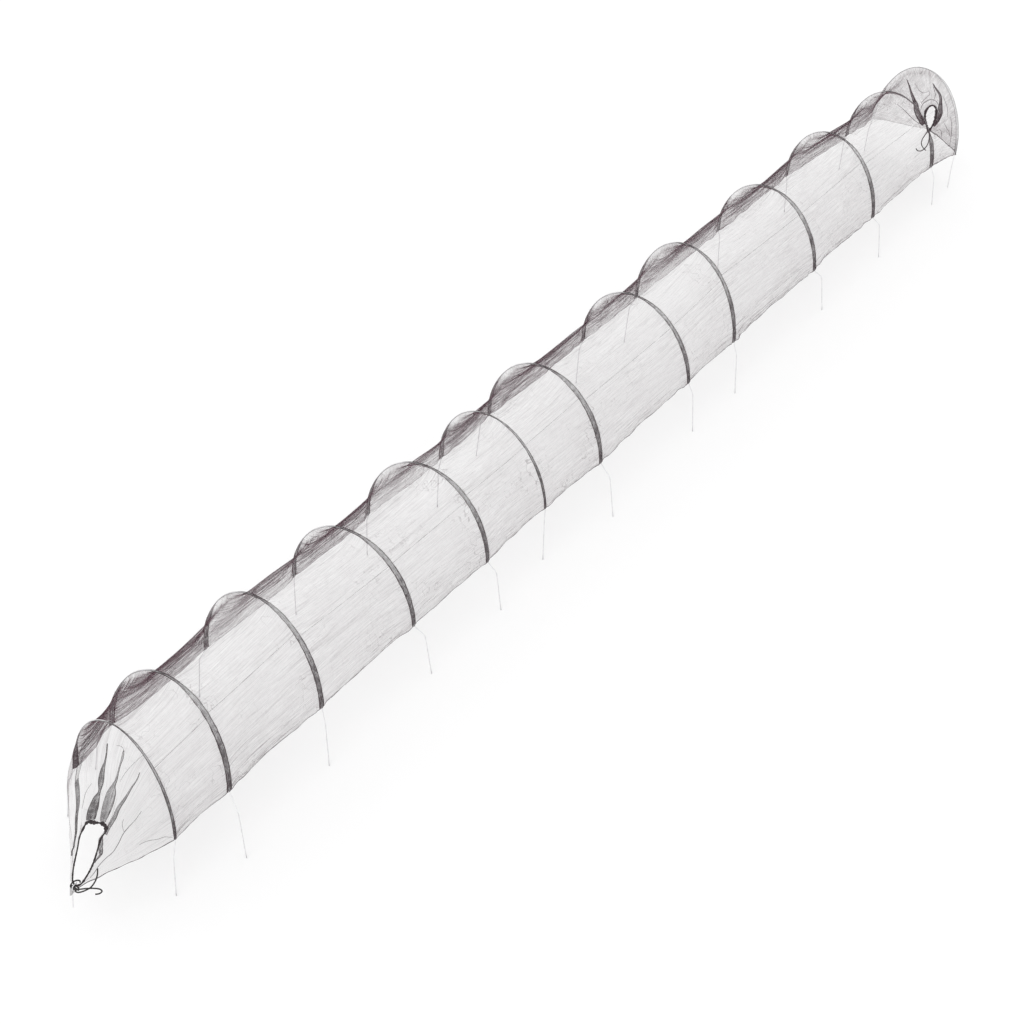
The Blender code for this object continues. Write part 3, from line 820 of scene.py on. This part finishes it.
def flap_piece(tag, folds, thick):
    """The cloth runs from the end hoop to the drawn rim. Folds start at the rim,
    where the cloth is bunched on the cord, and fade out towards the hoop."""
    k = 0 if tag == "near" else N - 1
    side = -1 if tag == "near" else +1
    S0, n, u, t, s, start, end, arc = flap_base(tag)
    shape = S0.shape[:2]
    U, V = np.broadcast_to(u[None], shape), np.broadcast_to(s[:, None], shape)
    # soft random folds that point at the rim
    D = 0.0070 * field(shape, (3, 22), 800 + k) * V ** 1.7 + 0.0030 * field(shape, (3, 60), 820 + k) * V ** 3
    D = D + 0.0030 * field(shape, (9, 14), 830 + k)
    edge = np.clip(V / 0.06, 0, 1) * np.clip((1.0 - V) / 0.015 + 0.25, 0, 1)
    S = S0 + n * (D * edge)[..., None]
    sign = np.where(np.arange(FLAP_COLS + 1) % 2, 1.0, -1.0)[None]
    size = 0.0010 * (1.0 + 0.7 * field(shape, (3, 100), 840 + k)) * (1 - 0.35 * V)
    if tag == "near":
        size = size * (1 - 0.7 * ease(U, 0.58, 0.70))
    P = S + n * (sign * size * np.clip(1.2 - V, 0.3, 1))[..., None]
    if tag == "near":
        dense = 1.0 + 0.35 * np.exp(-V * 25) + 0.5 * np.clip((V - 0.72) / 0.28, 0, 1) ** 2
        dense = dense * (1 - 0.36 * ease(U, 0.60, 0.74))
        dense = dense + 0.7 * ease(U, 0.50, 0.60) * (1 - ease(V, 0.25, 0.50))
    else:
        dense = 1.45 + 0.5 * np.clip((V - 0.5) / 0.5, 0, 1) ** 2
        dense = dense * (1 + 0.55 * (1 - ease(U, 0.06, 0.30)) * ease(V, 0.05, 0.2))
        dense = dense * (1 + 0.30 * field(shape, (8, 30), 850)) * (1 - 0.45 * np.exp(-(V / 0.05) ** 2))
    crumple = np.full(shape, 0.5 if tag == "near" else 1.1)
    uv = np.stack([U * arc, V * 0.36], -1)[..., ::-1]
    name = f"flap_{tag}"
    ob = place(name, mesh_from_grid(name, P, uv, {"dense": np.maximum(dense, 0.2), "crumple": crumple}), FLAP)
    hoop, gather = f"hoop_{k + 1:02d}", f"gather_{tag}"
    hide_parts(f"end_net_{tag}")

    # both hems of the flap, and the folds with their creases
    parts = []
    for col in (0, FLAP_COLS):
        line = even((P[:, col] + S[:, col]) / 2, 60)
        r = {("near", 0): 0.0017, ("near", FLAP_COLS): 0.0005, ("far", 0): 0.0032, ("far", FLAP_COLS): 0.0008}[tag, col]
        r = r * (1 + 0.4 * wander(61, 20, 860 + col))
        parts.append(tube_parts(line, r, 6, flat=0.5, normal=(0, -1, 0)))
    bodies, cover = [], []
    for i, (bunch, edges, path) in enumerate(folds):
        body, tubes = fold_parts(S, n, path, edges, 0.0045)
        if bunch > 0:
            bodies.append(body)
            grow = np.repeat(np.linspace(0.75, 1.15, 49), 10)
            spots = 1 + 0.30 * field((49, 10), (24, 5), 1100 + i + 40 * k).reshape(-1)
            cover.append(bunch * grow * spots)
        parts += tubes
    name = f"flap_edges_{tag}"
    trim = place(name, mesh_from_parts(name, parts), TRIM)
    add_dense(trim, 1.35)
    name = f"flap_folds_{tag}"
    fold = place(name, mesh_from_parts(name, bodies), FOLD)
    add_dense(fold, np.concatenate(cover))

    # the casing that the cord runs in, bunched into small knuckles
    m = 220
    ring = rim_line(tag, m)
    at = np.linspace(0, 1, m + 1)
    r = np.interp(at, [a for a, _ in thick], [b for _, b in thick])
    r = r * (0.72 + 0.75 * np.abs(wander(m + 1, 50, 870 + k)))
    casing = place(f"casing_{tag}", mesh_from_parts(f"casing_{tag}", [tube_parts(ring, r, 12, twist=0.05)]), CASING)
    add_dense(casing, 1.0)
    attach(casing, gather)
    blend_between((ob, trim, fold))
    area = sheet_area(ob)
    print("flap", tag, "area", round(area, 3))
    return ob, trim, fold, casing


# each fold: how bunched it is, the creases along its two sides, and its path as
# (share of the arc, share of the way to the rim, half its width in metres)
NEAR_FOLDS = [
    (1.45, (0.0009, 0.0006), [
        (0.715, 0.442, 0.0178), (0.708, 0.596, 0.0191), (0.725, 0.754, 0.0178), (0.757, 0.854, 0.0140),
        (0.803, 0.933, 0.0083), (0.842, 0.954, 0.0038)]),
    (0.36, (0.0009, 0.0005), [
        (0.583, 0.029, 0.0083), (0.613, 0.104, 0.0127), (0.652, 0.183, 0.0159), (0.683, 0.271, 0.0191),
        (0.708, 0.354, 0.0191), (0.715, 0.458, 0.0159)]),
    (1.15, (0.0011, 0.0012), [
        (0.520, 0.146, 0.0016), (0.513, 0.217, 0.0020), (0.513, 0.317, 0.0030), (0.524, 0.420, 0.0085),
        (0.527, 0.530, 0.0105), (0.526, 0.640, 0.0045), (0.538, 0.733, 0.0125), (0.546, 0.850, 0.0185),
        (0.553, 0.958, 0.0180), (0.556, 0.996, 0.0150)]),
    (0.80, (0.0006, 0.0013), [
        (0.442, 0.104, 0.0016), (0.437, 0.163, 0.0034), (0.440, 0.240, 0.0018), (0.450, 0.400, 0.0028),
        (0.461, 0.510, 0.0062), (0.466, 0.604, 0.0145), (0.472, 0.758, 0.0165), (0.477, 0.917, 0.0130),
        (0.478, 1.000, 0.0085)]),
    (0.00, (0.0000, 0.0007), [
        (0.477, 0.117, 0.0006), (0.462, 0.100, 0.0006), (0.448, 0.096, 0.0006), (0.440, 0.113, 0.0006)]),
    (0.85, (0.0003, 0.0014), [
        (0.338, 0.100, 0.0010), (0.333, 0.158, 0.0013), (0.338, 0.254, 0.0021), (0.345, 0.379, 0.0036),
        (0.360, 0.521, 0.0058), (0.370, 0.675, 0.0090), (0.372, 0.804, 0.0108), (0.355, 0.871, 0.0112)]),
    (0.00, (0.0000, 0.0012), [
        (0.228, 0.242, 0.0006), (0.227, 0.371, 0.0006), (0.227, 0.533, 0.0006), (0.203, 0.629, 0.0006),
        (0.188, 0.713, 0.0006), (0.186, 0.829, 0.0006), (0.160, 0.921, 0.0006), (0.120, 0.985, 0.0006)]),
    (0.00, (0.0000, 0.0006), [(0.223, 0.525, 0.0006), (0.272, 0.537, 0.0006), (0.285, 0.496, 0.0006)]),
    (0.00, (0.0000, 0.0006), [
        (0.637, 0.787, 0.0006), (0.628, 0.717, 0.0006), (0.615, 0.650, 0.0006), (0.578, 0.575, 0.0006)]),
    (1.10, (0.0004, 0.0013), [
        (0.398, 0.895, 0.0120), (0.382, 0.945, 0.0150), (0.345, 0.960, 0.0140), (0.300, 0.966, 0.0105),
        (0.258, 0.972, 0.0060), (0.220, 0.980, 0.0022)]),
    (0.00, (0.0000, 0.0006), [
        (0.362, 0.000, 0.0006), (0.368, 0.037, 0.0006), (0.387, 0.158, 0.0006), (0.420, 0.367, 0.0006)]),
    (0.00, (0.0000, 0.0007), [
        (0.023, 0.013, 0.0006), (0.047, 0.075, 0.0006), (0.058, 0.142, 0.0006), (0.082, 0.246, 0.0006),
        (0.092, 0.338, 0.0006)]),
]
FAR_FOLDS = [
    (1.50, (0.0016, 0.0020), [
        (0.677, 0.163, 0.0012), (0.685, 0.304, 0.0033), (0.700, 0.462, 0.0058), (0.712, 0.579, 0.0090),
        (0.747, 0.708, 0.0148), (0.805, 0.808, 0.0181), (0.872, 0.887, 0.0181), (0.937, 0.938, 0.0123)]),
    (1.50, (0.0020, 0.0016), [
        (0.495, 0.329, 0.0012), (0.468, 0.421, 0.0033), (0.427, 0.492, 0.0058), (0.395, 0.621, 0.0074),
        (0.348, 0.775, 0.0140), (0.292, 0.917, 0.0164), (0.210, 0.987, 0.0131), (0.112, 1.000, 0.0066)]),
    (0.00, (0.0000, 0.0016), [
        (0.723, 0.850, 0.0008), (0.653, 0.817, 0.0008), (0.588, 0.808, 0.0008), (0.525, 0.804, 0.0008),
        (0.463, 0.804, 0.0008), (0.393, 0.817, 0.0008)]),
    (0.00, (0.0000, 0.0012), [
        (0.658, 0.779, 0.0008), (0.573, 0.708, 0.0008), (0.530, 0.642, 0.0008), (0.532, 0.533, 0.0008)]),
    (0.00, (0.0000, 0.0014), [
        (0.860, 0.304, 0.0008), (0.872, 0.508, 0.0008), (0.898, 0.671, 0.0008), (0.935, 0.812, 0.0008),
        (0.965, 0.921, 0.0008)]),
    (0.00, (0.0000, 0.0014), [(0.488, 0.396, 0.0008), (0.473, 0.613, 0.0008), (0.487, 0.796, 0.0008)]),
    (0.00, (0.0000, 0.0013), [
        (0.218, 0.383, 0.0008), (0.133, 0.362, 0.0008), (0.050, 0.346, 0.0008), (0.000, 0.321, 0.0008)]),
    (0.00, (0.0000, 0.0014), [
        (0.177, 0.642, 0.0008), (0.128, 0.550, 0.0008), (0.105, 0.450, 0.0008), (0.070, 0.396, 0.0008)]),
    (0.00, (0.0000, 0.0014), [
        (0.067, 0.854, 0.0008), (0.088, 0.746, 0.0008), (0.055, 0.667, 0.0008), (0.010, 0.646, 0.0008)]),
    (0.00, (0.0000, 0.0010), [
        (0.395, 0.396, 0.0008), (0.352, 0.438, 0.0008), (0.290, 0.458, 0.0008), (0.228, 0.492, 0.0008)]),
    (0.00, (0.0000, 0.0010), [
        (0.637, 0.304, 0.0008), (0.617, 0.483, 0.0008), (0.578, 0.575, 0.0008), (0.530, 0.542, 0.0008)]),
]
near_flap, near_trim, near_fold, near_casing = flap_piece("near", NEAR_FOLDS, [
    (0.0, 0.0028), (0.12, 0.0033), (0.22, 0.0026), (0.30, 0.0030), (0.36, 0.0040), (0.405, 0.0026), (0.43, 0.0056), (0.47, 0.0072),
    (0.50, 0.0034), (0.54, 0.0052), (0.565, 0.0070), (0.59, 0.0042), (0.66, 0.0026), (0.75, 0.0022), (0.88, 0.0023), (1.0, 0.0026)])
far_flap, far_trim, far_fold, far_casing = flap_piece("far", FAR_FOLDS, [(0.0, 0.0055), (0.35, 0.0060), (0.5, 0.0042), (0.7, 0.0060), (1.0, 0.0055)])


def corner_piece():
    """The corner of the near flap's cloth, drawn up under the knot."""
    knot = np.array(NEAR_KNOT) + np.array([ROW_START, 0, 0])
    wide, high = np.array([0.62, -0.78, 0.0]), np.array([0.49, 0.39, 0.78])
    front = np.cross(wide, high)
    rows, cols = 10, 14
    v, u = np.linspace(0, 1, rows + 1), np.linspace(0, 1, cols + 1)
    top = np.array([-0.0160, 0.0030])[None] * (1 - u)[:, None] + np.array([0.0055, -0.0085])[None] * u[:, None]
    foot = np.array([-0.0170, -0.0270])[None] * (1 - u)[:, None] + np.array([-0.0120, -0.0270])[None] * u[:, None]
    flat = top[None] * (1 - v)[:, None, None] + foot[None] * v[:, None, None]
    crease = 0.0012 * field((rows + 1, cols + 1), (2, 7), 77) * (1 - v)[:, None]
    P = knot + flat[..., :1] * wide + flat[..., 1:] * high + (crease + 0.005)[..., None] * front
    uv = np.stack(np.broadcast_arrays(u[None, :] * 0.022, v[:, None] * 0.026), -1)
    me = mesh_from_grid("corner_near", P, uv, {"dense": np.full((rows + 1, cols + 1), 0.56), "crumple": np.zeros((rows + 1, cols + 1))})
    ob = place("corner_near", me, CASING)
    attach(ob, "gather_near")
    return ob


near_corner = corner_piece()


# ------------------------------------------------------------------ knots, pegs, cords
def knot_piece(tag, knot):
    """The near knot is loose, a loop over two crossed turns; the far one is drawn tight."""
    centre = np.array(knot) + np.array([ROW_START, 0, 0])
    wide, high = np.array([0.62, -0.78, 0.0]), np.array([0.49, 0.39, 0.78])
    front = np.cross(wide, high)
    if tag == "near":
        turns = [
            [(0.0165, 0.0130, -0.004), (0.0150, 0.0195, -0.003), (0.0070, 0.0215, 0.000), (-0.0040, 0.0180, 0.002),
             (-0.0115, 0.0105, 0.003), (-0.0140, 0.0030, 0.003), (-0.0080, -0.0030, 0.004), (0.0010, -0.0085, 0.005),
             (0.0060, -0.0100, 0.004)],
            [(-0.0125, 0.0035, -0.003), (-0.0030, 0.0050, 0.000), (0.0070, 0.0020, 0.004), (0.0130, -0.0060, 0.004),
             (0.0105, -0.0105, 0.002), (0.0050, -0.0070, -0.002), (-0.0050, -0.0015, -0.004), (0.0010, 0.0045, -0.005),
             (0.0120, 0.0040, -0.003)],
        ]
        lines = [centre + smooth(turn, 70) @ np.array([wide, high, front]) for turn in turns]
    else:
        a = np.linspace(0, 2 * math.pi, 97)
        line = np.stack([np.sin(a) + 2 * np.sin(2 * a), (np.cos(a) - 2 * np.cos(2 * a)) * 0.95, -np.sin(3 * a) * 1.15], -1)
        lines = [centre + (line * np.array([0.0032, 0.0030, 0.0030])) @ np.array([wide, high, front])]
    parts = [tube_parts(line, CORD_R * 1.05, 12, caps=tag == "near") for line in lines]
    ob = place(f"drawn_knot_{tag}", mesh_from_parts(f"drawn_knot_{tag}", parts), CORD)
    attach(ob, f"gather_{tag}")
    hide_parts(f"knot_{tag}")
    return ob


def peg_piece(tag, side, knot):
    centre = np.array(knot) + np.array([ROW_START, 0, 0])
    back = side * (KNOT_R + PEG_D / 2 + 0.0020)
    lift = KNOT_R + PEG_D / 2 + 0.0020
    pin = [(-back * 0.9, 0, lift), (-back * 0.2, 0, lift), (back * 0.45, 0, lift), (back * 0.86, 0, lift * 0.80),
           (back, 0, lift * 0.30), (back * 1.27, 0, -PEG_LEN * 0.3), (back * 1.9, 0, -PEG_LEN)]
    line = smooth([centre + np.array(p) for p in pin], 70)
    ob = place(f"peg_{tag}", mesh_from_parts(f"peg_{tag}", [tube_parts(line, PEG_D / 2, 12)]), WIRE)
    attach(ob, f"gather_{tag}")
    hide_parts(f"ground_peg_{tag}")
    return ob


def cord_line(name, line, radius, mat):
    me = mesh_from_parts(name, [tube_parts(line, radius, 12)])
    return place(name, me, mat)


for tag, side, knot, top, half in (("near", -1, NEAR_KNOT, NEAR_RIM_TOP, NEAR_RIM_HALF), ("far", +1, FAR_KNOT, FAR_RIM_TOP, FAR_RIM_HALF)):
    knot_piece(tag, knot)
    peg_piece(tag, side, knot)
    ring = rim_line(tag, 240)
    ob = cord_line(f"drawn_cord_{tag}", ring, CORD_R, CORD)
    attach(ob, f"gather_{tag}")
    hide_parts(f"drawcord_{tag}")

TAILS = {
    "cord_tail_near_curl": ("near", NEAR_KNOT, [
        (-0.0040, -0.0047, 0.0049), (-0.014, -0.015, 0.0145), (-0.0115, -0.033, 0.0225),
        (0.0015, -0.050, 0.0255), (0.0195, -0.066, 0.0210), (0.037, -0.0750, 0.0070),
        (0.046, -0.075, -0.0120), (0.040, -0.068, -0.0235), (0.030, -0.058, -0.0245)], "bare"),
    "cord_tail_near_slack": ("near", NEAR_KNOT, [
        (-0.0045, -0.0045, -0.0047), (-0.0085, -0.0120, -0.0085), (-0.0040, -0.0250, -0.0050),
        (0.0070, -0.0410, 0.0050), (0.0205, -0.0550, 0.0183), (0.0370, -0.0615, 0.0376),
        (0.0505, -0.0600, 0.0550), (0.0610, -0.0530, 0.0710)], "object"),
    "cord_tail_far_long": ("far", FAR_KNOT, [
        (-0.0035, 0.0050, -0.0068), (-0.008, 0.014, -0.030), (-0.010, 0.024, -0.058),
        (-0.009, 0.024, -0.085), (-0.005, 0.012, -0.105), (-0.002, -0.004, -0.116)], "bare"),
    "cord_tail_far_curl": ("far", FAR_KNOT, [
        (-0.0045, -0.0045, -0.0072), (-0.001, -0.010, -0.034), (0.003, -0.008, -0.070),
        (0.003, 0.004, -0.104), (0.002, 0.022, -0.128), (0.000, 0.042, -0.134),
        (-0.002, 0.054, -0.124)], "bare"),
}
for name, (tag, knot, route, end) in TAILS.items():
    base = np.array(knot) + np.array([ROW_START, 0, 0])
    line = smooth([base + np.array(p) for p in route], 72)
    piece = cord_line("loose_" + name, line, CORD_R, CORD)
    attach(piece, f"gather_{tag}")
    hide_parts(name)

# ------------------------------------------------------------------ floor, light
floor_mesh = bpy.data.meshes.new("floor")
bm = bmesh.new()
bmesh.ops.create_grid(bm, x_segments=1, y_segments=1, size=40.0)
bm.to_mesh(floor_mesh)
bm.free()
floor = bpy.data.objects.new("floor", floor_mesh)
sc.collection.objects.link(floor)
paint = bpy.data.materials.new("floor")
paint.use_nodes = True
bsdf = paint.node_tree.nodes["Principled BSDF"]
bsdf.inputs["Base Color"].default_value = (0.90, 0.90, 0.90, 1)
bsdf.inputs["Roughness"].default_value = 1.0
bsdf.inputs["Specular IOR Level"].default_value = 0.0
floor.data.materials.append(paint)

world = bpy.data.worlds.new("studio")
sc.world = world
world.use_nodes = True
world.node_tree.nodes["Background"].inputs["Color"].default_value = (1, 1, 1, 1)
world.node_tree.nodes["Background"].inputs["Strength"].default_value = 1.055
sun_data = bpy.data.lights.new("soft_key", "SUN")
sun_data.energy = 0.50
sun_data.angle = math.radians(35)
sun = bpy.data.objects.new("soft_key", sun_data)
sun.rotation_euler = (math.radians(38), math.radians(-12), math.radians(-60))
sc.collection.objects.link(sun)

for ob in sc.objects:
    if ob.type == "MESH" and ob.name.startswith(("net_", "flap_near", "flap_far")):
        ob.visible_shadow = False

sc.view_settings.view_transform = "Standard"
sc.view_settings.look = "None"
sc.cycles.transparent_max_bounces = 64
sc.cycles.max_bounces = 8
